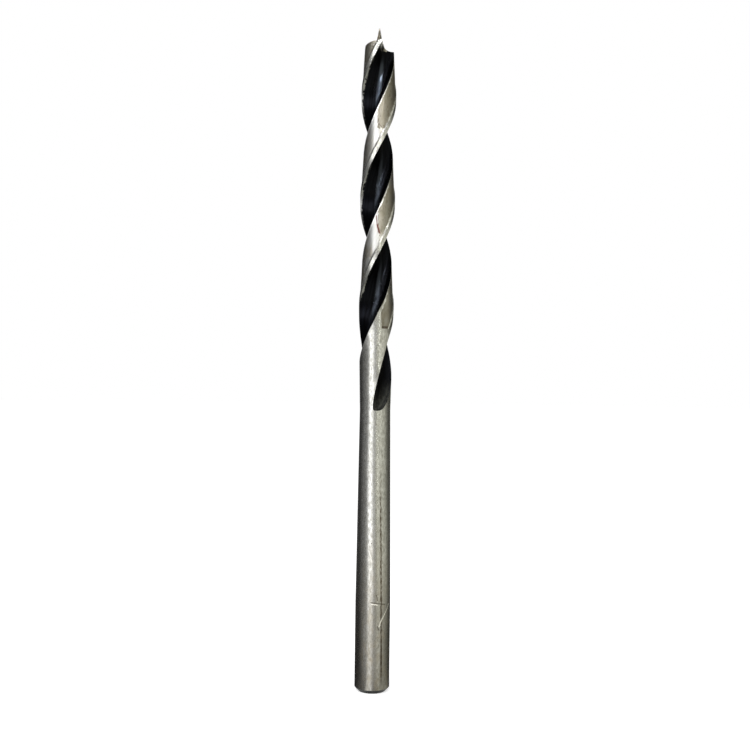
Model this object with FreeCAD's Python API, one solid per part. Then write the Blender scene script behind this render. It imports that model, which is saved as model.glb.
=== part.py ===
import FreeCAD, Part
import math
import os

from FreeCAD import Placement, Rotation, Vector

os.makedirs("parts", exist_ok=True)

# A brad-point drill bit for wood, one piece of steel, in millimetres and degrees.
# It stands on its shank end at the origin, with the point up the Z axis.
# Angles run round Z from +X, and the front of the bit faces -Y.

# Lengths along the bit
overall_length = 75.0
flute_length = 43.3
flute_stagger = 5.2
relief_length = 34.1
neck_taper_length = 11.5
grip_length = 10.0
shank_chamfer = 0.45

# Diameters
cutting_diameter = 3.95
shank_diameter = 3.95
neck_diameter = 3.46

# Flutes: a nearly radial cutting face that runs into a round gullet
flute_count = 2
point_lead = 22.8
run_out_lead = 26.0
web_thickness = 0.8
gullet_overreach = 0.02
gullet_angle = 64.0
run_out_length = 8.0
run_out_lag = 13.0
run_out_sweep = 145.0
front_edge_height = 72.5

# Lands: a full-diameter margin behind the cutting edge, then eccentric relief
margin_angle = 13.0
margin_step_angle = 6.0
margin_step_depth = 0.11
heel_depth = 0.31
relief_end_angle = 49.0
relief_end_slope = 22.0

# Point: a square brad between two hollow flanks that end in spurs
brad_height = 1.75
brad_side_angle = 8.5
brad_tip_width = 0.08
brad_root_radius = 0.9
flank_setback_angle = 38.0
flank_fall_angle = 7.0
flank_hollow = 0.3
flank_unevenness = 0.33
spur_rise = 0.28

# Worked out from the sizes above
cutting_radius = cutting_diameter / 2
shank_radius = shank_diameter / 2
neck_radius = neck_diameter / 2
web_radius = web_thickness / 2
largest_radius = max(cutting_radius, shank_radius)
tool_overrun = 1.0
flute_outer_radius = cutting_radius + tool_overrun / 2
gullet_radius = (flute_outer_radius - web_radius) / 2 + gullet_overreach
point_turn_rate = 360.0 / point_lead
run_out_turn_rate = 360.0 / run_out_lead
neck_height = overall_length - flute_length
relief_end_height = overall_length - relief_length
spur_height = overall_length - brad_height
section_pitch = point_lead / 16
run_out_sections = 8
front_angle = -90.0
axis = Vector(0, 0, 1)


def polar(radius, angle, height=0.0):
    """The point at this radius and angle round the axis."""
    turn = math.radians(angle)
    return Vector(radius * math.cos(turn), radius * math.sin(turn), height)


def edge_angle(height):
    """Where the first land's cutting edge stands here: the twist eases towards the shank."""
    below = front_edge_height - height
    easing = (point_turn_rate - run_out_turn_rate) / flute_length
    return front_angle - point_turn_rate * below + easing * below ** 2 / 2


def turned(shape, angle):
    """A copy of the shape, turned round the axis."""
    copy = shape.copy()
    copy.rotate(Vector(0, 0, 0), axis, angle)
    return copy


def for_each_land(shape):
    """The shape once for each land, spread evenly round the axis."""
    return [turned(shape, 360.0 * index / flute_count) for index in range(flute_count)]


def polyline_face(points):
    """A flat face inside straight edges through the points."""
    return Part.Face(Part.makePolygon(points + points[:1]))


def blank():
    """The turned blank: chamfer, straight grip, waisted neck and full-diameter body."""
    profile = [
        Vector(0, 0, 0),
        Vector(shank_radius - shank_chamfer, 0, 0),
        Vector(shank_radius, 0, shank_chamfer),
        Vector(shank_radius, 0, grip_length),
        Vector(neck_radius, 0, neck_height),
        Vector(cutting_radius, 0, neck_height + neck_taper_length),
        Vector(cutting_radius, 0, overall_length),
        Vector(0, 0, overall_length),
    ]
    return polyline_face(profile).revolve(Vector(0, 0, 0), axis, 360)


def radius_above_neck(height):
    """The blank's radius at this height, from the neck up."""
    share = min((height - neck_height) / neck_taper_length, 1.0)
    return neck_radius + (cutting_radius - neck_radius) * share


def flute_section(height, lift, lag):
    """The flute's outline across the bit, moved out by lift and turned by lag."""
    gullet_centre = polar(web_radius + gullet_radius, gullet_angle)
    corner = Vector(cutting_radius, 0, 0)
    to_centre = gullet_centre - corner
    face_length = math.sqrt(to_centre.Length ** 2 - gullet_radius ** 2)
    to_centre_angle = math.degrees(math.atan2(to_centre.y, to_centre.x))
    face_angle = to_centre_angle + math.degrees(math.asin(gullet_radius / to_centre.Length))
    reach = gullet_centre.Length
    cosine = (reach ** 2 + gullet_radius ** 2 - flute_outer_radius ** 2) / (2 * reach * gullet_radius)
    gullet_start = face_angle + 90.0
    gullet_end = gullet_angle + 180.0 - math.degrees(math.acos(cosine))

    face_outer = corner - polar(tool_overrun, face_angle)
    face_inner = corner + polar(face_length, face_angle)
    gullet_middle = gullet_centre + polar(gullet_radius, (gullet_start + gullet_end) / 2)
    heel_outer = gullet_centre + polar(gullet_radius, gullet_end)
    far_corner = polar(2 * largest_radius + tool_overrun, gullet_angle)

    turn = edge_angle(height) + lag
    place = Placement(polar(lift, turn + gullet_angle, height), Rotation(axis, turn))
    points = [face_outer, face_inner, gullet_middle, heel_outer, far_corner]
    start, tangent, middle, heel, far = [place.multVec(point) for point in points]
    edges = [
        Part.LineSegment(start, tangent).toShape(),
        Part.Arc(tangent, middle, heel).toShape(),
        Part.LineSegment(heel, far).toShape(),
        Part.LineSegment(far, start).toShape(),
    ]
    return Part.Wire(edges)


def heights(bottom, top):
    """Evenly spaced heights from bottom to top, about a section pitch apart."""
    count = math.ceil((top - bottom) / section_pitch)
    return [bottom + (top - bottom) * index / count for index in range(count + 1)]


def flute(end_height, largest_lag):
    """What one flute takes away: a helical groove that runs out at the end height."""
    full_lift = radius_above_neck(end_height) - web_radius
    sections = []
    for index in range(run_out_sections, 0, -1):
        share = index / run_out_sections
        height = end_height + run_out_length * (1 - share) ** 2
        lag = largest_lag * math.sin(math.radians(run_out_sweep * share))
        sections.append(flute_section(height, full_lift * share, lag))
    for height in heights(end_height + run_out_length, overall_length + tool_overrun):
        sections.append(flute_section(height, 0.0, 0.0))
    return Part.makeLoft(sections, True, False)


def flutes():
    """Every flute. The first stops a stagger sooner than the last, which lags on the neck."""
    cutters = []
    for index in range(flute_count):
        share = index / (flute_count - 1)
        end_height = neck_height + flute_stagger * (1 - share)
        cutters.append(turned(flute(end_height, run_out_lag * share), 360.0 * index / flute_count))
    return cutters


def land_angle():
    """How far a land reaches round from its cutting edge back to its heel."""
    reach = web_radius + gullet_radius
    cosine = (cutting_radius ** 2 + reach ** 2 - gullet_radius ** 2) / (2 * cutting_radius * reach)
    flute_angle = gullet_angle + math.degrees(math.acos(cosine))
    return 360.0 / flute_count - flute_angle


def relief_section(height):
    """The outline across the bit of what the relief takes off one land."""
    step_end = margin_angle + margin_step_angle
    past_heel = land_angle() + margin_step_angle
    depth_rate = (heel_depth - margin_step_depth) / (land_angle() - step_end)

    def on_relief(angle):
        depth = margin_step_depth + depth_rate * (angle - step_end)
        return polar(cutting_radius - depth, -angle)

    step_top = polar(cutting_radius, -margin_angle)
    step_foot = on_relief(step_end)
    above_step = step_top + (step_top - step_foot).normalize() * tool_overrun
    points = [
        above_step,
        step_foot,
        on_relief((step_end + past_heel) / 2),
        on_relief(past_heel),
        polar(flute_outer_radius, -past_heel),
        polar(2 * flute_outer_radius, -(margin_angle + past_heel) / 2),
    ]
    place = Placement(Vector(0, 0, height), Rotation(axis, edge_angle(height)))
    top, foot, middle, heel, outer, far = [place.multVec(point) for point in points]
    edges = [
        Part.LineSegment(top, foot).toShape(),
        Part.Arc(foot, middle, heel).toShape(),
        Part.LineSegment(heel, outer).toShape(),
        Part.LineSegment(outer, far).toShape(),
        Part.LineSegment(far, top).toShape(),
    ]
    return Part.Wire(edges)


def relief_keeper():
    """The part of the land that the end of the relief leaves: inside a flat chord, up to the heel."""
    line_angle = edge_angle(relief_end_height) - relief_end_angle
    outward = polar(1.0, line_angle + relief_end_slope)
    along = polar(1.0, line_angle + relief_end_slope + 90.0)
    line = polar(cutting_radius, line_angle, relief_end_height - tool_overrun)
    chord_middle = line + along * (cutting_radius * math.sin(math.radians(relief_end_slope)))
    side = 2 * cutting_radius
    floor = polyline_face([
        line - along * side,
        chord_middle,
        Vector(0, 0, line.z),
        line - along * side - outward * (2 * side),
    ])
    rise = (land_angle() - relief_end_angle + relief_end_slope) / run_out_turn_rate
    return floor.extrude(axis * (rise + tool_overrun))


def relief():
    """What the relief takes off one land, down to the shoulder where it ends."""
    stations = heights(relief_end_height, overall_length + tool_overrun)
    cutter = Part.makeLoft([relief_section(height) for height in stations], True, False)
    return cutter.cut(relief_keeper())


def flank():
    """What is ground off above one lip: brad side, hollow and spur, falling to the heel."""
    slope = math.tan(math.radians(brad_side_angle))
    root_height = spur_height - flank_hollow
    side_top = Vector(brad_tip_width / 2 - slope * tool_overrun, 0, overall_length + tool_overrun)
    arc_height = root_height + brad_root_radius * (1 - math.sin(math.radians(brad_side_angle)))
    arc_start = Vector(brad_tip_width / 2 + slope * (overall_length - arc_height), 0, arc_height)
    centre = arc_start + Vector(brad_root_radius * math.cos(math.radians(brad_side_angle)), 0,
                                brad_root_radius * math.sin(math.radians(brad_side_angle)))
    arc_end = centre - Vector(0, 0, brad_root_radius)
    half_turn = math.radians(225 + brad_side_angle / 2)
    arc_middle = centre + Vector(math.cos(half_turn), 0, math.sin(half_turn)) * brad_root_radius
    rim = Vector(cutting_radius + tool_overrun, 0, root_height + spur_rise)
    corner = Vector(rim.x, 0, overall_length + tool_overrun)
    edges = [
        Part.LineSegment(side_top, arc_start).toShape(),
        Part.Arc(arc_start, arc_middle, arc_end).toShape(),
        Part.LineSegment(arc_end, rim).toShape(),
        Part.LineSegment(rim, corner).toShape(),
        Part.LineSegment(corner, side_top).toShape(),
    ]
    profile = Part.Face(Part.Wire(edges))
    fall = math.tan(math.radians(flank_fall_angle))
    trailing = Vector(0, -1, -fall)
    width = 2 * (cutting_radius + tool_overrun)
    profile.translate(trailing * (-width / 2))
    cutter = profile.extrude(trailing * width)
    return turned(cutter, edge_angle(spur_height) - flank_setback_angle)


def brad_side():
    """What is ground off one of the brad's other two sides."""
    slope = math.tan(math.radians(brad_side_angle))
    half_floor = brad_tip_width / 2 + slope * brad_height
    reach = cutting_radius + tool_overrun
    top = overall_length + tool_overrun
    profile = polyline_face([
        Vector(0, brad_tip_width / 2 - slope * tool_overrun, top),
        Vector(0, half_floor, spur_height),
        Vector(0, reach, spur_height),
        Vector(0, reach, top),
    ])
    profile.translate(Vector(-brad_root_radius / 2, 0, 0))
    cutter = profile.extrude(Vector(brad_root_radius, 0, 0))
    return turned(cutter, edge_angle(spur_height) - flank_setback_angle)


def flanks():
    """The ground flank of every land; the last land's is uneven, a little lower."""
    cutters = for_each_land(flank())
    cutters[-1].translate(axis * -flank_unevenness)
    return cutters


def drill_bit():
    body = blank().cut(flutes()).cut(for_each_land(relief()))
    return body.cut(flanks()).cut(for_each_land(brad_side()))


bit = drill_bit()
bit.exportStep("parts/drill_bit.step")
print("solids", len(bit.Solids), "valid", bit.isValid(), "faces", len(bit.Faces), "volume", bit.Volume)
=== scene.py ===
import math

import bpy
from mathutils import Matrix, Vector


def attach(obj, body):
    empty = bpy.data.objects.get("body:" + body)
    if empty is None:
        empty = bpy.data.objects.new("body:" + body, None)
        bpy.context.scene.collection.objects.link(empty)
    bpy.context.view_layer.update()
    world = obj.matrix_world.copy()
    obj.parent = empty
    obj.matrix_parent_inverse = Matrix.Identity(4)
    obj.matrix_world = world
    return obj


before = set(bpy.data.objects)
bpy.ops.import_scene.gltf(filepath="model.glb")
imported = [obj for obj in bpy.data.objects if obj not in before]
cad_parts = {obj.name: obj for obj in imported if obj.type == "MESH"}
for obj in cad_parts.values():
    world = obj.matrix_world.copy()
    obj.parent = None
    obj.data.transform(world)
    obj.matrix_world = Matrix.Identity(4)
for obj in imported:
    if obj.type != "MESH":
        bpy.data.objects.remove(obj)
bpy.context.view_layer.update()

bl_info = {
    "name": "Brad-point drill bit",
    "version": (1, 0, 0),
    "blender": (4, 5, 0),
    "location": "3D View > Sidebar > Drill Bit",
    "description": "Finishes a brad-point drill bit and sets it on a pale studio stage",
    "category": "Object",
}

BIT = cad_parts["drill_bit"]
MM = 0.001
FULL_TURN = 360.0
HALF_TURN = 180.0

# The bit's own measures as the CAD has them, in millimetres and degrees.
CUTTING_RADIUS = 1.975
SHANK_RADIUS = 1.975
NECK_RADIUS = 1.73
CHAMFER = 0.45
GRIP_TOP = 10.0
NECK_HEIGHT = 31.7
RELIEF_FOOT = 40.9
BODY_FOOT = 43.2
LIP_HEIGHT = 72.4
FRONT_EDGE_HEIGHT = 72.5
FRONT_EDGE_ANGLE = -90.0
FLUTE_LENGTH = 43.3
POINT_LEAD = 22.8
RUN_OUT_LEAD = 26.0
POINT_TURN = FULL_TURN / POINT_LEAD
RUN_OUT_TURN = FULL_TURN / RUN_OUT_LEAD
TURN_EASING = (POINT_TURN - RUN_OUT_TURN) / FLUTE_LENGTH
MARGIN_ANGLE = 16.0
LAND_ANGLE = 77.0

# Where the marks of use, the painted shade and the painted highlight on the lands lie. Heights are in
# millimetres and angles in degrees, from +X or, for the heel, the shaded margin step and the burnished band
# that paints the flutes' streak, behind the cutting edge. A pair is where a soft edge begins and ends.
FLUTED_START = (BODY_FOOT, BODY_FOOT + 2.0)
GROUND_HEEL = LAND_ANGLE + 7.0
# The dark band along the margin step is painted shade.
MARGIN_STEP_SHADE_WIDTH = 5.0
# The front-left of the lands takes a cleaner, neutral colour where the strip's highlight falls: painted
# highlight.
HIGHLIGHT_ZONE_START = (-140.0, -118.0)
HIGHLIGHT_ZONE_END = (-90.0, -78.0)
# The lands' far side takes a darker colour: painted shade.
SHADED_SIDE_START = (-88.0, -76.0)

# The dark seam along the shank: its slant is in degrees a millimetre, its width in degrees.
SEAM_ANGLE = -57.5
SEAM_SLANT = 0.4
SEAM_WIDTH = 5.0
SEAM_FOOT = (0.4, 2.5)
SEAM_TOP = (19.0, 27.0)

# The film that handling leaves thins out over this span, from the first share to the second.
HANDLED_SPAN = (4.0, 22.0)
HANDLED_SHARE = (0.70, 0.12)

# Each stain on the lands, laid where they turn away from the bright strip, so partly a brown film and partly
# painted shade: its bottom and top, its first and last angle, and its strength.
SHADE_STAIN_ZONES = (
    (40.7, 43.5, -73.0, -10.0, 0.36),
    (51.6, 57.0, -88.0, -10.0, 0.80),
    (63.4, 76.0, -94.0, -10.0, 1.00),
    (60.4, 62.8, -170.0, -108.0, 0.45),
    (48.9, 49.9, -140.0, -106.0, 0.80),
    (70.8, 76.0, -170.0, -100.0, 1.00),
)
# How far from its limits a shaded stain's soft edges begin and end, and how far its patches shift them.
SHADE_STAIN_BOTTOM_EDGE = (-0.15, 0.15)
SHADE_STAIN_TOP_EDGE = (-0.2, 0.8)
SHADE_STAIN_START_EDGE = (-1.0, 2.0)
SHADE_STAIN_END_EDGE = (-3.0, 3.0)
SHADE_STAIN_RAGGED_ANGLE = 5.0
SHADE_STAIN_RAGGED_HEIGHT = 0.3
# Painted shade: the dark rim from a stain's first angle on, and the dark line at the foot of the relief,
# where its step is in shade.
SHADE_RIM_ANGLE = 3.0
RELIEF_FOOT_SHADE_HEIGHT = RELIEF_FOOT + 0.08
RELIEF_FOOT_SHADE_WIDTH = 0.30

# Each scratch: its start and its end, both by angle and height, and its width.
DARK_SCRATCHES = (
    (-96.0, 10.28, -72.0, 10.16, 0.10),
    (-72.0, 10.16, -46.0, 10.0, 0.09),
    (-78.0, 11.1, -74.0, 10.5, 0.08),
    (-28.0, 9.72, -66.0, 7.80, 0.08),
    (-97.0, 16.85, -95.0, 16.90, 0.08),
    (-74.0, 7.6, -69.0, 7.2, 0.10),
    (60.0, 5.0, 80.0, 6.6, 0.06),
    (150.0, 13.0, 158.0, 17.0, 0.05),
)
# Bright scratches are drawn near white: scratches with a painted glint.
BRIGHT_SCRATCH_GLINTS = (
    (-94.0, 10.12, -74.0, 10.02, 0.08),
    (-26.0, 10.0, -63.0, 8.10, 0.11),
    (-63.0, 8.10, -68.0, 7.60, 0.11),
)
RUST_LINES = (
    (-94.3, 53.5, -90.7, 52.5, 0.09),
    (-90.7, 52.5, -82.0, 51.6, 0.15),
)
BROWN_LINES = (
    (-95.0, 64.7, -90.0, 63.8, 0.10),
    (-90.0, 63.8, -78.0, 63.4, 0.12),
)

# The black flutes: the burnished floor, brighter so that the lamps draw a highlight streak on it, a painted
# highlight, the dusty run-out and, by radius, the rubbed outer edge, also a painted edge highlight.
BURNISH_HIGHLIGHT_ANGLE = 112.0
BURNISH_HIGHLIGHT_WIDTH = 38.0
BURNISH_HIGHLIGHT_FOOT = (NECK_HEIGHT + 6.0, BODY_FOOT + 1.0)
BURNISH_HIGHLIGHT_TOP = (70.3, LIP_HEIGHT - 0.6)
TOP_FLUTE = (62.0, 68.0)
RUN_OUT_FLOOR = (NECK_HEIGHT, NECK_HEIGHT + 4.0)
OUTER_EDGE = (1.62, 1.80)

# Where the brad turns darker, by height.
BRAD_FOOT = (LIP_HEIGHT + 0.6, LIP_HEIGHT + 1.3)

# Layers of colour over a finish: how strongly each one covers, and its colour.
# Dark colour of the rims and the relief's foot line, which paint shade, and of the brown lines.
DARK_RIM_COLOUR = (0.05, 0.03, 0.02)
GRAIN_LAYER = (0.72, (0.20, 0.20, 0.18))
DRAWN_LAYER = (0.50, (0.27, 0.267, 0.24))
HANDLED_LAYER = (1.0, (0.44, 0.39, 0.30))
SEAM_LAYER = (0.95, (0.07, 0.05, 0.03))
# Rubbed edges are drawn near white: wear, and a painted edge highlight.
RUBBED_EDGE_HIGHLIGHT_LAYER = (0.8, (0.82, 0.82, 0.80))
NICK_LAYER = (0.6, (0.15, 0.14, 0.13))
DARK_SCRATCH_LAYER = (0.75, (0.09, 0.075, 0.055))
# Near white: scratches with a painted glint.
BRIGHT_SCRATCH_GLINT_LAYER = (0.90, (0.95, 0.93, 0.85))
LAND_LINE_LAYER = (0.45, (0.30, 0.285, 0.24))
# A neutral colour where the strip's highlight falls: painted highlight.
HIGHLIGHT_ZONE_LAYER = (0.60, (0.38, 0.38, 0.375))
# Painted shade on the lands' far side.
SHADED_SIDE_LAYER = (0.60, (0.22, 0.205, 0.165))
# The dark rims and the relief's foot line paint shade.
SHADE_RIM_LAYER = (0.8, DARK_RIM_COLOUR)
# Painted shade along the margin step.
MARGIN_STEP_SHADE_LAYER = (0.5, (0.17, 0.155, 0.13))
LAND_NICK_LAYER = (0.6, (0.14, 0.12, 0.10))
RUST_LAYER = (0.95, (0.09, 0.018, 0.013))
BROWN_LAYER = (0.70, DARK_RIM_COLOUR)
OXIDE_LINE_LAYER = (1.0, (0.003, 0.003, 0.0035))
# Burnished band, brighter so the lamps draw a streak on it: painted highlight.
BURNISH_HIGHLIGHT_LAYER = (1.0, (0.050, 0.058, 0.072))
OXIDE_SPECK_LAYER = (0.4, (0.12, 0.12, 0.13))
DUST_LAYER = (1.0, (0.040, 0.041, 0.036))
# Rubbed outer edges of the flutes: wear, and a painted edge highlight.
OXIDE_RUBBED_EDGE_HIGHLIGHT_LAYER = (0.6, (0.40, 0.40, 0.39))
POINT_FILM_LAYER = (1.0, (0.30, 0.27, 0.20))
POINT_LINE_LAYER = (0.35, (0.33, 0.31, 0.28))
BRAD_LAYER = (0.75, (0.13, 0.11, 0.08))

# How strongly the stain's own colour covers in the specks, the patches and the stains, which on the lands
# also paint shade.
SPECK_STRENGTH = 0.35
PATCH_STRENGTH = 0.45
SHADE_STAIN_STRENGTH = 0.90

# The least roughness of the relieved lands and of the point.
LAND_ROUGHNESS = 0.25
POINT_ROUGHNESS = 0.32


# Settings that a user would change

class FinishSettings(bpy.types.PropertyGroup):
    """Colours and finish of the bit's surfaces."""

    steel_colour: bpy.props.FloatVectorProperty(
        name="Ground steel",
        description="Colour of the shank and the margins, ground bright",
        subtype="COLOR", size=3, min=0.0, max=1.0, default=(0.64, 0.645, 0.63))
    dull_colour: bpy.props.FloatVectorProperty(
        name="Relieved steel",
        description="Colour of the dull relieved lands behind the margins",
        subtype="COLOR", size=3, min=0.0, max=1.0, default=(0.46, 0.43, 0.365))
    oxide_colour: bpy.props.FloatVectorProperty(
        name="Black oxide",
        description="Colour of the oxide that is left in the flutes",
        subtype="COLOR", size=3, min=0.0, max=1.0, default=(0.006, 0.0065, 0.0085))
    # The stain colour also colours the painted shade of the stains on the lands.
    stain_and_shade_colour: bpy.props.FloatVectorProperty(
        name="Stain",
        description="Colour of the brown stains on the steel",
        subtype="COLOR", size=3, min=0.0, max=1.0, default=(0.165, 0.147, 0.108))
    steel_roughness: bpy.props.FloatProperty(
        name="Steel roughness",
        description="Roughness of the bright ground steel",
        subtype="FACTOR", min=0.0, max=1.0, default=0.20)
    oxide_roughness: bpy.props.FloatProperty(
        name="Oxide roughness",
        description="Roughness of the black oxide in the flutes",
        subtype="FACTOR", min=0.0, max=1.0, default=0.20)
    # Wear also scales the painted edge highlight, the glint of the bright scratches and the painted shade of
    # the stain rims.
    wear: bpy.props.FloatProperty(
        name="Wear",
        description="How strongly scratches, nicks and rubbed edges show",
        subtype="FACTOR", min=0.0, max=1.0, default=1.0)


class StageSettings(bpy.types.PropertyGroup):
    """Floor, light and camera round the bit."""

    floor_radius: bpy.props.FloatProperty(
        name="Floor radius",
        description="Radius of the pale floor under the bit",
        subtype="DISTANCE", unit="LENGTH", min=0.1, default=1.2)
    floor_colour: bpy.props.FloatVectorProperty(
        name="Floor",
        description="Colour of the pale floor",
        subtype="COLOR", size=3, min=0.0, max=1.0, default=(0.9, 0.9, 0.9))
    lamp_power: bpy.props.FloatProperty(
        name="Lamp power",
        description="Power of the soft lamp above the bit",
        subtype="POWER", unit="POWER", min=0.0, default=0.6)
    strip_power: bpy.props.FloatProperty(
        name="Flute strip power",
        description="Power of the long lamp that draws the flutes' soft streaks",
        subtype="POWER", unit="POWER", min=0.0, default=0.06)
    spot_power: bpy.props.FloatProperty(
        name="Flute spot power",
        description="Power of the small lamp that draws the bright spot in the top flute",
        subtype="POWER", unit="POWER", min=0.0, default=0.04)
    tent_level: bpy.props.FloatProperty(
        name="Tent level",
        description="Brightness of the reflector round the bit",
        min=0.0, default=1.0)
    camera_distance: bpy.props.FloatProperty(
        name="Camera distance",
        description="Distance from the camera to the bit's axis",
        subtype="DISTANCE", unit="LENGTH", min=0.05, default=0.118)
    camera_height: bpy.props.FloatProperty(
        name="Camera height",
        description="Height of the level camera above the floor",
        subtype="DISTANCE", unit="LENGTH", min=0.0, default=0.03570)
    camera_roll: bpy.props.FloatProperty(
        name="Camera roll",
        description="How far the camera leans to its left",
        subtype="ANGLE", unit="ROTATION", default=math.radians(0.7))


# Node tools

def new_group(name, inputs, outputs):
    """A node group with number sockets: (name, default) in, and names out."""
    group = bpy.data.node_groups.new(name, "ShaderNodeTree")
    for label, default in inputs:
        socket = group.interface.new_socket(name=label, in_out="INPUT", socket_type="NodeSocketFloat")
        socket.default_value = default
    for label in outputs:
        group.interface.new_socket(name=label, in_out="OUTPUT", socket_type="NodeSocketFloat")
    inlet = group.nodes.new("NodeGroupInput")
    outlet = group.nodes.new("NodeGroupOutput")
    return group, inlet.outputs, outlet.inputs


def feed(tree, socket, value):
    """Links a socket to another, or sets it to a plain value."""
    if isinstance(value, bpy.types.NodeSocket):
        tree.links.new(value, socket)
    else:
        socket.default_value = value


def math_node(tree, operation, *values, clamp=False):
    """The result of one math operation on these values."""
    node = tree.nodes.new("ShaderNodeMath")
    node.operation = operation
    node.use_clamp = clamp
    for socket, value in zip(node.inputs, values):
        feed(tree, socket, value)
    return node.outputs[0]


def product(tree, first, *others):
    """All these values multiplied."""
    for other in others:
        first = math_node(tree, "MULTIPLY", first, other)
    return first


def weigh(tree, start, *parts):
    """The start plus each part times its weight."""
    for part, weight in parts:
        start = math_node(tree, "ADD", start, product(tree, part, weight))
    return start


def ramp_value(tree, value, low, high, to_low=0.0, to_high=1.0):
    """A smooth step of the value from low to high."""
    node = tree.nodes.new("ShaderNodeMapRange")
    node.interpolation_type = "SMOOTHSTEP"
    for name, number in (("From Min", low), ("From Max", high), ("To Min", to_low), ("To Max", to_high)):
        feed(tree, node.inputs[name], number)
    feed(tree, node.inputs["Value"], value)
    return node.outputs["Result"]


def fade(tree, value, low, high):
    """A smooth step down, from 1 at low to 0 at high."""
    return ramp_value(tree, value, low, high, 1.0, 0.0)


def at_least(tree, mask, least):
    """The mask, lifted so that it begins at this least value."""
    return ramp_value(tree, mask, 0.0, 1.0, least, 1.0)


def step_at(tree, value, limit, edge, to_low=0.0, to_high=1.0):
    """A smooth step at the limit, with a soft edge that begins and ends so far from it."""
    return ramp_value(tree, value, limit + edge[0], limit + edge[1], to_low, to_high)


def blend_colour(tree, factor, first, second):
    """The first colour blended into the second by the factor."""
    node = tree.nodes.new("ShaderNodeMix")
    node.data_type = "RGBA"
    feed(tree, node.inputs["Factor"], factor)
    colours = [socket for socket in node.inputs if socket.type == "RGBA"]
    for socket, value in zip(colours, (first, second)):
        if isinstance(value, tuple):
            value = (*value, 1.0)
        feed(tree, socket, value)
    return [socket for socket in node.outputs if socket.type == "RGBA"][0]


def paint(tree, colour, layers):
    """The colour with layers laid over it in order: a mask, how strongly it covers, and its colour."""
    for mask, (strength, tint) in layers:
        colour = blend_colour(tree, product(tree, mask, strength), colour, tint)
    return colour


def join_xyz(tree, x, y, z):
    """A vector of these three values."""
    node = tree.nodes.new("ShaderNodeCombineXYZ")
    for socket, value in zip(node.inputs, (x, y, z)):
        feed(tree, socket, value)
    return node.outputs[0]


def noise_value(tree, place, scale, detail, roughness, seed=None):
    """Fractal noise at this place. With a seed it has another pattern for each seed."""
    node = tree.nodes.new("ShaderNodeTexNoise")
    if seed is not None:
        node.noise_dimensions = "4D"
        feed(tree, node.inputs["W"], seed)
    feed(tree, node.inputs["Vector"], place)
    feed(tree, node.inputs["Scale"], scale)
    node.inputs["Detail"].default_value = detail
    node.inputs["Roughness"].default_value = roughness
    return node.outputs["Fac"]


def place_group(tree, group, **values):
    """The outputs of a group placed in the tree, with its inputs set by name."""
    node = tree.nodes.new("ShaderNodeGroup")
    node.node_tree = group
    for label, value in values.items():
        feed(tree, node.inputs[label.replace("_", " ").capitalize()], value)
    return node.outputs


# Shared effects

def split_position(tree):
    """Object position in millimetres, as X, Y and Z."""
    scale = tree.nodes.new("ShaderNodeVectorMath")
    scale.operation = "SCALE"
    feed(tree, scale.inputs[0], tree.nodes.new("ShaderNodeTexCoord").outputs["Object"])
    scale.inputs["Scale"].default_value = 1.0 / MM
    parts = tree.nodes.new("ShaderNodeSeparateXYZ")
    feed(tree, parts.inputs[0], scale.outputs[0])
    return parts.outputs


def edge_turn(tree, height):
    """The first cutting edge's angle at this height, in radians from +X."""
    below = math_node(tree, "SUBTRACT", FRONT_EDGE_HEIGHT, height)
    eased = product(tree, below, below, TURN_EASING / 2)
    turned = weigh(tree, eased, (below, -POINT_TURN))
    return product(tree, math_node(tree, "ADD", turned, FRONT_EDGE_ANGLE), math.radians(1.0))


def bit_regions_group():
    """Where a point lies on the bit: height, radius, angle, and how far behind its cutting edge."""
    group, _, outlet = new_group("Bit regions", (), ("Height", "Radius", "Behind edge", "Angle"))
    x, y, z = split_position(group)
    angle = math_node(group, "ARCTAN2", y, x)
    behind = product(group, math_node(group, "SUBTRACT", edge_turn(group, z), angle), math.degrees(1.0))
    square = math_node(group, "ADD", product(group, x, x), product(group, y, y))
    feed(group, outlet["Height"], z)
    feed(group, outlet["Radius"], math_node(group, "SQRT", square))
    feed(group, outlet["Behind edge"], math_node(group, "FLOORED_MODULO", behind, HALF_TURN))
    feed(group, outlet["Angle"], product(group, angle, math.degrees(1.0)))
    return group


def grain_group():
    """Fine lines drawn out along the bit, straight on the shank or along the helix."""
    group, inlet, outlet = new_group(
        "Drawn grain", (("Scale", 6.0), ("Length", 12.0), ("Helix", 0.0)), ("Grain",))
    x, y, z = split_position(group)
    spin = group.nodes.new("ShaderNodeVectorRotate")
    spin.rotation_type = "Z_AXIS"
    feed(group, spin.inputs["Vector"], join_xyz(group, x, y, math_node(group, "DIVIDE", z, inlet["Length"])))
    feed(group, spin.inputs["Angle"], product(group, edge_turn(group, z), inlet["Helix"], -1.0))
    noise = noise_value(group, spin.outputs[0], inlet["Scale"], detail=3.0, roughness=0.6)
    feed(group, outlet["Grain"], ramp_value(group, noise, low=0.3, high=0.7))
    return group


def mottle_group():
    """Soft uneven patches, as handling and rust film leave on bare steel."""
    group, inlet, outlet = new_group(
        "Mottle", (("Scale", 2.0), ("Low", 0.4), ("High", 0.65), ("Seed", 0.0)), ("Mask",))
    drawn_out = 0.55
    x, y, z = split_position(group)
    place = join_xyz(group, x, y, product(group, z, drawn_out))
    noise = noise_value(group, place, inlet["Scale"], detail=4.0, roughness=0.62, seed=inlet["Seed"])
    feed(group, outlet["Mask"], ramp_value(group, noise, inlet["Low"], inlet["High"]))
    return group


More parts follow.
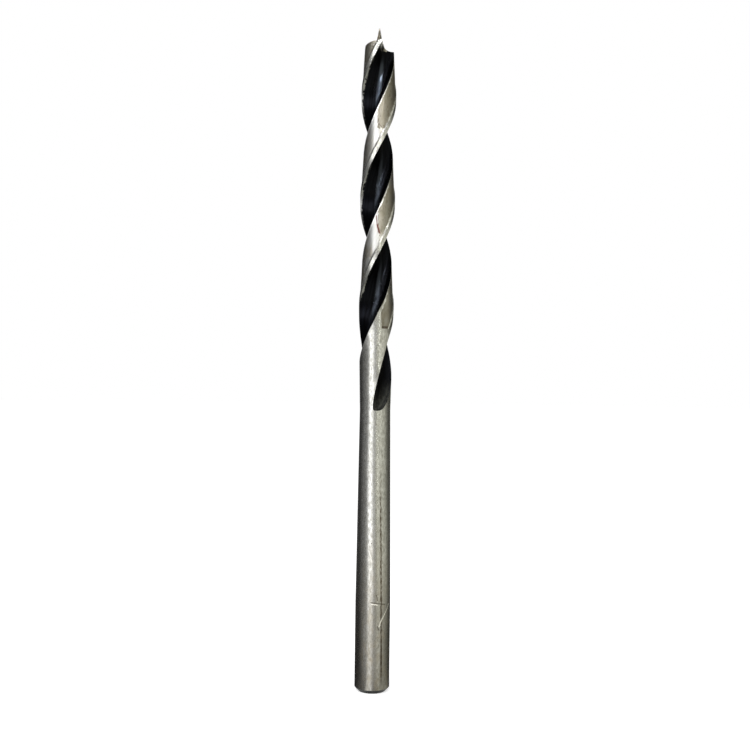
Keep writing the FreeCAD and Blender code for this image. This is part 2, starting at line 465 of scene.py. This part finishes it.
def band_group():
    """A band round a value: 1 at the centre, fading to 0 over the width."""
    group, inlet, outlet = new_group("Band", (("Value", 0.0), ("Centre", 0.0), ("Width", 1.0)), ("Mask",))
    off = math_node(group, "SUBTRACT", inlet["Value"], inlet["Centre"])
    away = math_node(group, "DIVIDE", math_node(group, "ABSOLUTE", off), inlet["Width"])
    feed(group, outlet["Mask"], fade(group, away, low=0.35, high=1.0))
    return group


def scratch_group():
    """One straight scratch on the turned surface, between two places by angle and height."""
    group, inlet, outlet = new_group("Scratch", (
        ("Start angle", -90.0), ("Start height", 10.0),
        ("End angle", -80.0), ("End height", 12.0), ("Width", 0.05)), ("Mask",))
    degree = math.radians(SHANK_RADIUS)
    x, y, z = split_position(group)
    round_shank = product(group, math_node(group, "ARCTAN2", y, x), SHANK_RADIUS)
    start_x = product(group, inlet["Start angle"], degree)
    run_x = math_node(group, "SUBTRACT", product(group, inlet["End angle"], degree), start_x)
    run_z = math_node(group, "SUBTRACT", inlet["End height"], inlet["Start height"])
    to_x = math_node(group, "SUBTRACT", round_shank, start_x)
    to_z = math_node(group, "SUBTRACT", z, inlet["Start height"])
    along = math_node(group, "ADD", product(group, to_x, run_x), product(group, to_z, run_z))
    length = math_node(group, "ADD", product(group, run_x, run_x), product(group, run_z, run_z))
    share = math_node(group, "DIVIDE", along, length, clamp=True)
    off_x = math_node(group, "SUBTRACT", to_x, product(group, share, run_x))
    off_z = math_node(group, "SUBTRACT", to_z, product(group, share, run_z))
    square = math_node(group, "ADD", product(group, off_x, off_x), product(group, off_z, off_z))
    away = math_node(group, "DIVIDE", math_node(group, "SQRT", square), inlet["Width"])
    feed(group, outlet["Mask"], fade(group, away, low=0.3, high=1.0))
    return group


def edge_wear_group():
    """Wear along the cutting edge and the heel: a rubbed line of uneven width, drawn bright as a painted edge
    highlight too, and spots for nicks.
    """
    group, inlet, outlet = new_group(
        "Edge wear", (("Behind edge", 0.0), ("Heel", LAND_ANGLE), ("Width", 3.0)), ("Mask", "Nicks"))
    behind = inlet["Behind edge"]
    ahead = math_node(group, "MINIMUM", behind, math_node(group, "SUBTRACT", HALF_TURN, behind))
    to_heel = math_node(group, "ABSOLUTE", math_node(group, "SUBTRACT", behind, inlet["Heel"]))
    away = math_node(group, "MINIMUM", ahead, to_heel)
    place = join_xyz(group, *split_position(group))
    noise = noise_value(group, place, scale=2.6, detail=3.0, roughness=0.5)
    uneven = ramp_value(group, noise, low=0.35, high=0.65, to_low=0.35, to_high=1.6)
    share = math_node(group, "DIVIDE", away, product(group, inlet["Width"], uneven))
    feed(group, outlet["Mask"], fade(group, share, low=0.3, high=1.0))
    near = fade(group, away, low=4.0, high=11.0)
    spots = ramp_value(group, noise, low=0.60, high=0.66)
    feed(group, outlet["Nicks"], product(group, near, spots))
    return group


def shared_effects():
    """Every shared node group by a short name, built once."""
    builders = {
        "regions": bit_regions_group,
        "wear": edge_wear_group,
        "grain": grain_group,
        "mottle": mottle_group,
        "band": band_group,
        "scratch": scratch_group,
    }
    return {name: builder() for name, builder in builders.items()}


# Materials

def new_material(name):
    """A material with its node tree and its shader."""
    material = bpy.data.materials.new(name)
    material.use_nodes = True
    tree = material.node_tree
    return material, tree, tree.nodes["Principled BSDF"]


def one_mask(tree, effect, **values):
    """The first output of an effect placed in the tree."""
    return place_group(tree, effect, **values)[0]


def scratch_marks(tree, effects, finish, scratches):
    """One mask of all these scratches, as strong as the wear."""
    names = ("start_angle", "start_height", "end_angle", "end_height", "width")
    marks = 0.0
    for values in scratches:
        mark = one_mask(tree, effects["scratch"], **dict(zip(names, values)))
        marks = math_node(tree, "MAXIMUM", marks, mark)
    return product(tree, marks, finish.wear)


def set_metal(tree, shader, colour, rough, height, depth):
    """Makes the shader bare metal of this colour and roughness, with a relief so many millimetres deep."""
    bump = tree.nodes.new("ShaderNodeBump")
    bump.inputs["Strength"].default_value = 1.0
    bump.inputs["Distance"].default_value = depth * MM
    feed(tree, bump.inputs["Height"], height)
    feed(tree, shader.inputs["Base Color"], colour)
    feed(tree, shader.inputs["Roughness"], rough)
    feed(tree, shader.inputs["Normal"], bump.outputs["Normal"])
    shader.inputs["Metallic"].default_value = 1.0


def ground_steel(effects, finish):
    """Bright ground steel of the shank, the neck and the margins, with its stains and scratches, and bright
    rubbed edges and scratches that also paint highlights and glints.
    """
    material, tree, shader = new_material("Ground steel")
    regions = place_group(tree, effects["regions"])
    height = regions["Height"]
    grain = one_mask(tree, effects["grain"], scale=6.5, length=3.0)
    drawn = one_mask(tree, effects["grain"], scale=2.0, length=30.0)
    film = one_mask(tree, effects["mottle"], scale=1.6, low=0.42, high=0.7, seed=2.0)
    specks = one_mask(tree, effects["mottle"], scale=5.5, low=0.52, high=0.68, seed=5.0)
    wear = place_group(tree, effects["wear"], behind_edge=regions["Behind edge"], heel=GROUND_HEEL, width=1.6)
    fluted = product(tree, ramp_value(tree, height, *FLUTED_START), finish.wear)

    slanted = weigh(tree, regions["Angle"], (height, SEAM_SLANT))
    seam = one_mask(tree, effects["band"], value=slanted, centre=SEAM_ANGLE, width=SEAM_WIDTH)
    seam = product(tree, seam, ramp_value(tree, height, *SEAM_FOOT), fade(tree, height, *SEAM_TOP),
                   ramp_value(tree, grain, low=0.1, high=0.8, to_low=0.55))
    handled = product(tree, ramp_value(tree, height, *HANDLED_SPAN, *HANDLED_SHARE),
                      at_least(tree, film, least=0.5))
    dark = scratch_marks(tree, effects, finish, DARK_SCRATCHES)
    # Bright scratches: scratches with a painted glint.
    bright = scratch_marks(tree, effects, finish, BRIGHT_SCRATCH_GLINTS)
    marks = math_node(tree, "MAXIMUM", dark, bright)

    colour = paint(tree, tuple(finish.steel_colour), (
        (grain, GRAIN_LAYER),
        (drawn, DRAWN_LAYER),
        (handled, HANDLED_LAYER),
        (specks, (SPECK_STRENGTH, tuple(finish.stain_and_shade_colour))),
        (seam, SEAM_LAYER),
        # Rubbed edges: wear, and a painted edge highlight.
        (product(tree, wear["Mask"], fluted), RUBBED_EDGE_HIGHLIGHT_LAYER),
        (product(tree, wear["Nicks"], fluted), NICK_LAYER),
        (dark, DARK_SCRATCH_LAYER),
        (bright, BRIGHT_SCRATCH_GLINT_LAYER),
    ))
    rough = weigh(tree, finish.steel_roughness, (film, 0.08), (grain, 0.10), (marks, 0.2))
    relief = weigh(tree, 0.0, (grain, 0.15), (marks, -1.0))
    set_metal(tree, shader, colour, rough, relief, depth=0.006)
    return material


def shade_stain_masks(tree, effects, regions, lines, patches):
    """Masks of the stains on the lands, which also paint shade, and of the painted shade along their rims and
    at the relief's foot.
    """
    ragged = weigh(tree, regions["Angle"], (patches, SHADE_STAIN_RAGGED_ANGLE))
    raised = weigh(tree, regions["Height"], (patches, SHADE_STAIN_RAGGED_HEIGHT))
    stain_and_shade, shade_rim = 0.0, 0.0
    # Each stain lies where the lands turn away from the strip: brown film that is also painted shade.
    for bottom, top, start, end, strength in SHADE_STAIN_ZONES:
        zone = product(tree, step_at(tree, raised, bottom, SHADE_STAIN_BOTTOM_EDGE),
                       step_at(tree, raised, top, SHADE_STAIN_TOP_EDGE, strength, 0.0))
        across = product(tree, step_at(tree, ragged, start, SHADE_STAIN_START_EDGE),
                         step_at(tree, ragged, end, SHADE_STAIN_END_EDGE, 1.0, 0.0))
        side = one_mask(tree, effects["band"], value=ragged,
                        centre=start + SHADE_RIM_ANGLE / 2, width=SHADE_RIM_ANGLE)
        stain_and_shade = math_node(tree, "MAXIMUM", stain_and_shade, product(tree, zone, across))
        shade_rim = math_node(tree, "MAXIMUM", shade_rim, product(tree, zone, side))
    # The dark line at the relief's foot is painted shade of its step.
    foot = one_mask(tree, effects["band"], value=regions["Height"],
                    centre=RELIEF_FOOT_SHADE_HEIGHT, width=RELIEF_FOOT_SHADE_WIDTH)
    foot = product(tree, foot, ramp_value(tree, stain_and_shade, low=0.2, high=0.4))
    shade_rim = product(tree, shade_rim, ramp_value(tree, lines, low=0.4, high=0.8))
    return stain_and_shade, math_node(tree, "MAXIMUM", shade_rim, foot)


def relieved_steel(effects, finish):
    """The dull steel of the relieved lands behind the margins, with its film and stains, painted shade on the
    far side, along the stains and at the margin step and the relief's foot, a cleaner zone at the front that
    paints the strip's highlight, and rubbed edges drawn bright as a painted highlight.
    """
    material, tree, shader = new_material("Relieved steel")
    regions = place_group(tree, effects["regions"])
    angle, behind = regions["Angle"], regions["Behind edge"]
    lines = one_mask(tree, effects["grain"], scale=6.0, length=10.0, helix=1.0)
    film = one_mask(tree, effects["mottle"], scale=1.3, low=0.38, high=0.62, seed=9.0)
    patches = one_mask(tree, effects["mottle"], scale=3.6, low=0.50, high=0.68, seed=4.0)
    wear = place_group(tree, effects["wear"], behind_edge=behind, heel=LAND_ANGLE, width=5.0)
    # A dark band along the margin step: painted shade.
    step = one_mask(tree, effects["band"], value=behind, centre=MARGIN_ANGLE, width=MARGIN_STEP_SHADE_WIDTH)

    stain_and_shade, shade_rim = shade_stain_masks(tree, effects, regions, lines, patches)
    # The front-left of the lands, clean and neutral where the strip's highlight falls: painted highlight.
    highlight_zone = product(tree, ramp_value(tree, angle, *HIGHLIGHT_ZONE_START), fade(tree, angle, *HIGHLIGHT_ZONE_END),
                       math_node(tree, "SUBTRACT", 1.0, stain_and_shade))
    stain_and_shade = product(tree, stain_and_shade, at_least(tree, patches, least=0.70))
    outside_highlight_zone = weigh(tree, 1.0, (highlight_zone, -0.85))
    rust = scratch_marks(tree, effects, finish, RUST_LINES)
    brown = product(tree, scratch_marks(tree, effects, finish, BROWN_LINES),
                    ramp_value(tree, lines, low=0.2, high=0.7, to_low=0.35))

    stain_and_shade_tone = tuple(finish.stain_and_shade_colour)
    colour = paint(tree, tuple(finish.steel_colour), (
        (product(tree, film, outside_highlight_zone), (1.0, tuple(finish.dull_colour))),
        (lines, LAND_LINE_LAYER),
        (product(tree, patches, outside_highlight_zone), (PATCH_STRENGTH, stain_and_shade_tone)),
        # Painted highlight zone at the front-left.
        (highlight_zone, HIGHLIGHT_ZONE_LAYER),
        # Painted shade on the lands' far side.
        (ramp_value(tree, angle, *SHADED_SIDE_START), SHADED_SIDE_LAYER),
        # The stains on the lands: brown film that also paints shade.
        (stain_and_shade, (SHADE_STAIN_STRENGTH, stain_and_shade_tone)),
        # The dark rims and the relief's foot line: painted shade.
        (product(tree, shade_rim, finish.wear), SHADE_RIM_LAYER),
        # Painted shade along the margin step.
        (step, MARGIN_STEP_SHADE_LAYER),
        (product(tree, wear["Nicks"], finish.wear), LAND_NICK_LAYER),
        # Rubbed edges: wear, and a painted edge highlight.
        (product(tree, wear["Mask"], finish.wear), RUBBED_EDGE_HIGHLIGHT_LAYER),
        (rust, RUST_LAYER),
        (brown, BROWN_LAYER),
    ))
    cloudy = math_node(tree, "MAXIMUM", film, highlight_zone)
    rough = weigh(tree, LAND_ROUGHNESS, (cloudy, 0.08), (patches, 0.12), (stain_and_shade, 0.20))
    relief = weigh(tree, 0.0, (lines, 0.5), (patches, 0.6))
    set_metal(tree, shader, colour, rough, relief, depth=0.006)
    return material


def black_oxide(effects, finish):
    """The black oxide left in the flutes, rubbed bright along the edges and dusty at the run-outs, with a
    brighter burnished band on the floor; the bright edges and band also paint highlights.
    """
    material, tree, shader = new_material("Black oxide")
    regions = place_group(tree, effects["regions"])
    height, behind = regions["Height"], regions["Behind edge"]
    lines = one_mask(tree, effects["grain"], scale=4.0, length=14.0, helix=1.0)
    cloud = one_mask(tree, effects["mottle"], scale=1.1, low=0.35, high=0.7, seed=11.0)
    specks = one_mask(tree, effects["mottle"], scale=9.0, low=0.66, high=0.74, seed=14.0)
    dust = one_mask(tree, effects["mottle"], scale=4.5, low=0.40, high=0.62, seed=17.0)
    wear = place_group(tree, effects["wear"], behind_edge=behind, heel=LAND_ANGLE, width=1.6)

    run_out = fade(tree, height, *RUN_OUT_FLOOR)
    top_flute = ramp_value(tree, height, *TOP_FLUTE)
    # Rubbed outer edge: wear, and a painted edge highlight.
    rubbed = product(tree, wear["Mask"], ramp_value(tree, regions["Radius"], *OUTER_EDGE),
                     ramp_value(tree, height, *FLUTED_START), finish.wear)
    # A brighter burnished band along the flute floor that paints the flute's highlight streak.
    burnished_highlight = one_mask(tree, effects["band"], value=behind, centre=BURNISH_HIGHLIGHT_ANGLE, width=BURNISH_HIGHLIGHT_WIDTH)
    burnished_highlight = product(tree, burnished_highlight, at_least(tree, cloud, least=0.6),
                        at_least(tree, top_flute, least=0.6),
                        ramp_value(tree, height, *BURNISH_HIGHLIGHT_FOOT),
                        ramp_value(tree, height, *BURNISH_HIGHLIGHT_TOP, to_low=1.0, to_high=0.2))

    colour = paint(tree, tuple(finish.oxide_colour), (
        (lines, OXIDE_LINE_LAYER),
        (burnished_highlight, BURNISH_HIGHLIGHT_LAYER),
        (product(tree, specks, finish.wear), OXIDE_SPECK_LAYER),
        (product(tree, run_out, at_least(tree, dust, least=0.35)), DUST_LAYER),
        (rubbed, OXIDE_RUBBED_EDGE_HIGHLIGHT_LAYER),
    ))
    smoother_upwards = ramp_value(tree, top_flute, 0.0, 1.0, to_low=-0.10, to_high=0.10)
    smooth = product(tree, burnished_highlight, smoother_upwards)
    rough = weigh(tree, finish.oxide_roughness,
                  (lines, 0.05), (cloud, 0.08), (smooth, -1.0), (run_out, 0.25))
    set_metal(tree, shader, colour, rough, lines, depth=0.004)
    return material


def point_steel(effects, finish):
    """The ground flanks, lips and brad at the point."""
    material, tree, shader = new_material("Point steel")
    lines = one_mask(tree, effects["grain"], scale=9.0, length=1.0)
    film = one_mask(tree, effects["mottle"], scale=2.4, low=0.4, high=0.65, seed=21.0)
    brad = ramp_value(tree, place_group(tree, effects["regions"])["Height"], *BRAD_FOOT)
    colour = paint(tree, tuple(finish.dull_colour), (
        (film, POINT_FILM_LAYER),
        (lines, POINT_LINE_LAYER),
        (brad, BRAD_LAYER),
    ))
    rough = weigh(tree, POINT_ROUGHNESS, (lines, 0.12))
    set_metal(tree, shader, colour, rough, lines, depth=0.005)
    return material


# The bit

# How a face's finish is told from its place in millimetres, and from how far it faces up or outward.
SLACK = 0.01
POINT_ZONE = 60.0
FLANK_UPWARD = 0.75
BRAD_ZONE_RADIUS = 0.9
BRAD_UPWARD = 0.05
BLANK_DEPTH = 0.006
LAND_FOOT = RELIEF_FOOT - 0.2
LAND_RADIUS = 1.55
LAND_OUTWARD = 0.7
RELIEF_DEPTH = 0.02
RELIEF_OUTWARD = 0.97

STEEL, RELIEF, OXIDE, POINT = range(4)


def blank_radius(height):
    """Radius of the turned blank at this height."""
    if height <= GRIP_TOP:
        return SHANK_RADIUS
    if height <= NECK_HEIGHT:
        share = (height - GRIP_TOP) / (NECK_HEIGHT - GRIP_TOP)
        return SHANK_RADIUS + (NECK_RADIUS - SHANK_RADIUS) * share
    share = min((height - NECK_HEIGHT) / (BODY_FOOT - NECK_HEIGHT), 1.0)
    return NECK_RADIUS + (CUTTING_RADIUS - NECK_RADIUS) * share


def surface_kind(mesh, polygon):
    """Which finish a face of the bit has, from where it lies and faces."""
    corners = [mesh.vertices[index].co / MM for index in polygon.vertices]
    centre = sum(corners, Vector()) / len(corners)
    radial = Vector((centre.x, centre.y, 0.0))
    radius = radial.length
    upward = polygon.normal.z
    outward = polygon.normal.dot(radial.normalized()) if radius > SLACK else 0.0
    # The chamfer at the foot takes the black oxide, dark also to paint the shade under the foot.
    if centre.z < CHAMFER - SLACK:
        return OXIDE
    if centre.z > POINT_ZONE and upward > FLANK_UPWARD:
        return POINT
    if centre.z > LIP_HEIGHT and radius < BRAD_ZONE_RADIUS and upward > BRAD_UPWARD:
        return POINT
    depths = [blank_radius(corner.z) - math.hypot(corner.x, corner.y) for corner in corners]
    if max(depths) < BLANK_DEPTH:
        return STEEL
    if centre.z > LAND_FOOT and outward > LAND_OUTWARD and radius > LAND_RADIUS:
        return RELIEF if min(depths) > RELIEF_DEPTH or outward > RELIEF_OUTWARD else STEEL
    if centre.z < NECK_HEIGHT - SLACK:
        return STEEL
    return OXIDE


class BIT_OT_finish_drill_bit(bpy.types.Operator):
    """Give the drill bit its ground steel, relieved lands and black flutes"""

    bl_idname = "bit.finish_drill_bit"
    bl_label = "Finish the drill bit"

    def execute(self, context):
        finish = context.scene.bit_finish
        effects = shared_effects()
        mesh = BIT.data
        mesh.materials.clear()
        for builder in (ground_steel, relieved_steel, black_oxide, point_steel):
            mesh.materials.append(builder(effects, finish))
        for polygon in mesh.polygons:
            polygon.material_index = surface_kind(mesh, polygon)
        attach(BIT, "root")
        return {"FINISHED"}


# The stage

# The floor glows for the rays that see the background. The world's even light is for the others.
FLOOR_CORNERS = 96
FLOOR_ROUGHNESS = 0.9
FLOOR_GLOW = 0.56
EVEN_LIGHT = 0.55

# Azimuth round the bit, 0 at the camera's side and growing to its right, and the brightness there.
TENT = (
    (-180, 0.95), (-173, 0.95), (-167, 0.08), (-118, 0.05), (-92, 0.18), (-72, 0.30), (-48, 0.45),
    (-38, 2.50), (-19, 2.50), (-11, 0.80), (-2, 0.72), (7, 0.60), (13, 0.80), (20, 1.25), (27, 1.00),
    (46, 0.92), (66, 0.80), (82, 0.60), (96, 0.26), (114, 0.12), (150, 0.07), (160, 0.95), (180, 0.95),
)
# Where azimuth 0 lies on the colour ramp, whose two ends meet behind the bit.
RAMP_MIDDLE = 0.5
TENT_LEFT_TINT = (1.0, 1.0, 1.0)
TENT_RIGHT_TINT = (1.0, 0.995, 0.87)

# The tent's shape in metres, and where its bands lean and its grey foot fades out.
TENT_STEPS = 180
TENT_RADIUS = 0.020
TENT_INNER_RADIUS = 0.0022
TENT_BOTTOM = 0.0001
TENT_TOP = 0.130
TENT_LEAN = math.radians(13.0)
TENT_LEAN_FOOT = 0.005
TENT_LEAN_TOP = 0.027
TENT_GREY_TOP = 0.015
TENT_GREY_SHARE = 0.60
TENT_GREY_REACH = 0.014
TENT_FOOT_LEVEL = 0.46
TENT_SIDE_LEVEL = 0.02

# The lamps: places and sizes in metres, azimuths and elevations in degrees as seen from the bit.
BIT_MIDDLE = Vector((0.0, 0.0, 0.040))
BIT_TOP = Vector((0.0, 0.0, 0.069))
LAMP_DISTANCE = 0.16
SOFT_LAMP_PLACE = Vector((-0.16, -0.22, 0.36))
SOFT_LAMP_SIZE = (0.22, 0.22)
STRIP_SIZE = (0.30, 0.022)
STRIP_AIM = (-15.0, 27.0)
STRIP_LEAN = math.radians(-22.0)
SPOT_SIZE = (0.008, 0.008)
SPOT_AIM = (13.0, 20.5)

# The camera: lens and sensor width in millimetres, sideways offset and clip distances in metres.
CAMERA_LENS = 49.92
CAMERA_SENSOR = 36.0
CAMERA_OFFSET = -0.00006
CAMERA_CLIP = (0.005, 10.0)


def link_object(name, data):
    """A new object of this data in the scene."""
    thing = bpy.data.objects.new(name, data)
    bpy.context.scene.collection.objects.link(thing)
    return thing


def shown_ray(tree):
    """1 for the rays that see the background: camera, glossy and transmission."""
    path = tree.nodes.new("ShaderNodeLightPath").outputs
    seen = math_node(tree, "MAXIMUM", path["Is Camera Ray"], path["Is Glossy Ray"])
    return math_node(tree, "MAXIMUM", seen, path["Is Transmission Ray"])


def build_floor(stage):
    """A round pale floor that keeps the bit's shadow and is white where the light falls."""
    points = []
    for corner in range(FLOOR_CORNERS):
        turn = 2 * math.pi * corner / FLOOR_CORNERS
        points.append((stage.floor_radius * math.cos(turn), stage.floor_radius * math.sin(turn), 0.0))
    mesh = bpy.data.meshes.new("Floor")
    mesh.from_pydata(points, [], [tuple(range(FLOOR_CORNERS))])
    material, tree, shader = new_material("Pale floor")
    shader.inputs["Base Color"].default_value = (*stage.floor_colour, 1.0)
    shader.inputs["Roughness"].default_value = FLOOR_ROUGHNESS
    shader.inputs["Specular IOR Level"].default_value = 0.0
    shader.inputs["Emission Color"].default_value = (1.0, 1.0, 1.0, 1.0)
    feed(tree, shader.inputs["Emission Strength"], product(tree, shown_ray(tree), FLOOR_GLOW))
    mesh.materials.append(material)
    return link_object("Floor", mesh)


def tent_mesh():
    """The tent's flat ring round the bit's foot, and the wall that stands on it."""
    rings = ((TENT_INNER_RADIUS, TENT_BOTTOM), (TENT_RADIUS, TENT_BOTTOM), (TENT_RADIUS, TENT_TOP))
    points, faces = [], []
    for step in range(TENT_STEPS):
        azimuth = 2 * math.pi * step / TENT_STEPS
        x, y = math.sin(azimuth), -math.cos(azimuth)
        points += [(radius * x, radius * y, height) for radius, height in rings]
        this = len(rings) * step
        after = len(rings) * ((step + 1) % TENT_STEPS)
        faces += [(this + ring, after + ring, after + ring + 1, this + ring + 1) for ring in (0, 1)]
    mesh = bpy.data.meshes.new("Reflector tent")
    mesh.from_pydata(points, [], faces)
    return mesh


def tent_material(stage):
    """Upright bands of light that swing aside near the foot, where plain grey covers them in part."""
    material, tree, shader = new_material("Reflector tent")
    tree.nodes.remove(shader)
    parts = tree.nodes.new("ShaderNodeSeparateXYZ")
    feed(tree, parts.inputs[0], tree.nodes.new("ShaderNodeTexCoord").outputs["Object"])
    x, y, z = parts.outputs
    front = product(tree, y, -1.0)
    lean = ramp_value(tree, z, TENT_LEAN_FOOT, TENT_LEAN_TOP, TENT_LEAN, 0.0)
    azimuth = math_node(tree, "SUBTRACT", math_node(tree, "ARCTAN2", x, front), lean)
    ramp = tree.nodes.new("ShaderNodeValToRGB")
    feed(tree, ramp.inputs[0], weigh(tree, RAMP_MIDDLE, (azimuth, 1 / (2 * math.pi))))
    # A new ramp has two elements already, which take the first two levels.
    elements = ramp.color_ramp.elements
    peak = max(level for _, level in TENT)
    for index, (degrees, level) in enumerate(TENT):
        place = RAMP_MIDDLE + degrees / FULL_TURN
        element = elements[index] if index < 2 else elements.new(place)
        element.position = place
        tint = TENT_RIGHT_TINT if degrees > 0 else TENT_LEFT_TINT
        element.color = (*(level / peak * part for part in tint), 1.0)
    share = ramp_value(tree, z, 0.0, TENT_GREY_TOP, TENT_GREY_SHARE, 0.0)
    grey = ramp_value(tree, front, 0.0, TENT_GREY_REACH, TENT_SIDE_LEVEL / peak, TENT_FOOT_LEVEL / peak)
    glow = tree.nodes.new("ShaderNodeEmission")
    feed(tree, glow.inputs["Color"], blend_colour(tree, share, ramp.outputs["Color"], grey))
    glow.inputs["Strength"].default_value = peak * stage.tent_level
    feed(tree, tree.nodes["Material Output"].inputs["Surface"], glow.outputs[0])
    return material


def build_tent(stage):
    """A close reflector that only reflections show: a bright strip at the left, grey cards round the rest."""
    tent = link_object("Reflector tent", tent_mesh())
    tent.data.materials.append(tent_material(stage))
    tent.visible_camera = False
    tent.visible_diffuse = False
    tent.visible_shadow = False
    tent.visible_transmission = False
    return tent


def aim(azimuth, elevation, distance, target):
    """A place seen from the target in this direction: azimuth from the camera's side, to its right."""
    across, up = math.radians(azimuth), math.radians(elevation)
    toward = Vector((math.sin(across) * math.cos(up), -math.cos(across) * math.cos(up), math.sin(up)))
    return target + toward * distance


def build_lamp(name, size, power, place, target, lean=0.0):
    """A soft rectangular lamp at the place, facing the target, leaned about its own axis."""
    light = bpy.data.lights.new(name, "AREA")
    light.shape = "RECTANGLE"
    light.size, light.size_y = size
    light.energy = power
    light.cycles.use_multiple_importance_sampling = False
    lamp = link_object(name, light)
    lamp.location = place
    facing = (target - place).to_track_quat("-Z", "Y").to_euler()
    facing.rotate_axis("Z", lean)
    lamp.rotation_euler = facing
    return lamp


def build_lamps(stage):
    """The soft lamp that draws the floor's shadow, and a strip and a spot that light the flutes."""
    soft = build_lamp("Soft lamp", SOFT_LAMP_SIZE, stage.lamp_power, SOFT_LAMP_PLACE, BIT_MIDDLE)
    soft.visible_glossy = False
    strip = build_lamp("Flute strip", STRIP_SIZE, stage.strip_power,
                       aim(*STRIP_AIM, LAMP_DISTANCE, BIT_MIDDLE), BIT_MIDDLE, STRIP_LEAN)
    spot = build_lamp("Flute spot", SPOT_SIZE, stage.spot_power,
                      aim(*SPOT_AIM, LAMP_DISTANCE, BIT_TOP), BIT_TOP)
    return soft, strip, spot


def build_world():
    """A white surrounding for the rays that see it, and plain even light for the rest."""
    world = bpy.data.worlds.new("Studio")
    bpy.context.scene.world = world
    world.use_nodes = True
    tree = world.node_tree
    background = tree.nodes["Background"]
    background.inputs["Color"].default_value = (1.0, 1.0, 1.0, 1.0)
    feed(tree, background.inputs["Strength"], at_least(tree, shown_ray(tree), EVEN_LIGHT))


def build_camera(stage):
    """A level camera at the front, leaning a little."""
    camera = bpy.data.cameras.new("Camera")
    camera.lens = CAMERA_LENS
    camera.sensor_width = CAMERA_SENSOR
    camera.clip_start, camera.clip_end = CAMERA_CLIP
    viewer = link_object("Camera", camera)
    viewer.location = (CAMERA_OFFSET, -stage.camera_distance, stage.camera_height)
    viewer.rotation_euler = (math.pi / 2, -stage.camera_roll, 0.0)
    bpy.context.scene.camera = viewer
    return viewer


class BIT_OT_set_stage(bpy.types.Operator):
    """Set the bit on a pale floor with soft light and a level camera"""

    bl_idname = "bit.set_stage"
    bl_label = "Set the stage"

    def execute(self, context):
        stage = context.scene.bit_stage
        build_world()
        build_floor(stage)
        build_tent(stage)
        build_lamps(stage)
        build_camera(stage)
        context.scene.view_settings.view_transform = "Standard"
        return {"FINISHED"}


# The panel

class BIT_PT_drill_bit(bpy.types.Panel):
    """Finish and stage of the drill bit."""

    bl_idname = "BIT_PT_drill_bit"
    bl_label = "Drill Bit"
    bl_space_type = "VIEW_3D"
    bl_region_type = "UI"
    bl_category = "Drill Bit"

    def draw(self, context):
        for settings, operator in ((context.scene.bit_finish, BIT_OT_finish_drill_bit),
                                   (context.scene.bit_stage, BIT_OT_set_stage)):
            box = self.layout.box()
            for name in settings.__annotations__:
                box.prop(settings, name)
            box.operator(operator.bl_idname)


CLASSES = (FinishSettings, StageSettings, BIT_OT_finish_drill_bit, BIT_OT_set_stage, BIT_PT_drill_bit)


def register():
    """Registers the classes and hangs both groups of settings on the scene."""
    for cls in CLASSES:
        bpy.utils.register_class(cls)
    bpy.types.Scene.bit_finish = bpy.props.PointerProperty(type=FinishSettings)
    bpy.types.Scene.bit_stage = bpy.props.PointerProperty(type=StageSettings)


def unregister():
    """Takes the settings and the classes away again."""
    del bpy.types.Scene.bit_stage
    del bpy.types.Scene.bit_finish
    for cls in reversed(CLASSES):
        bpy.utils.unregister_class(cls)


def main():
    """Finishes the bit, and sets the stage."""
    register()
    bpy.ops.bit.finish_drill_bit()
    bpy.ops.bit.set_stage()


if __name__ == "__main__":
    main()
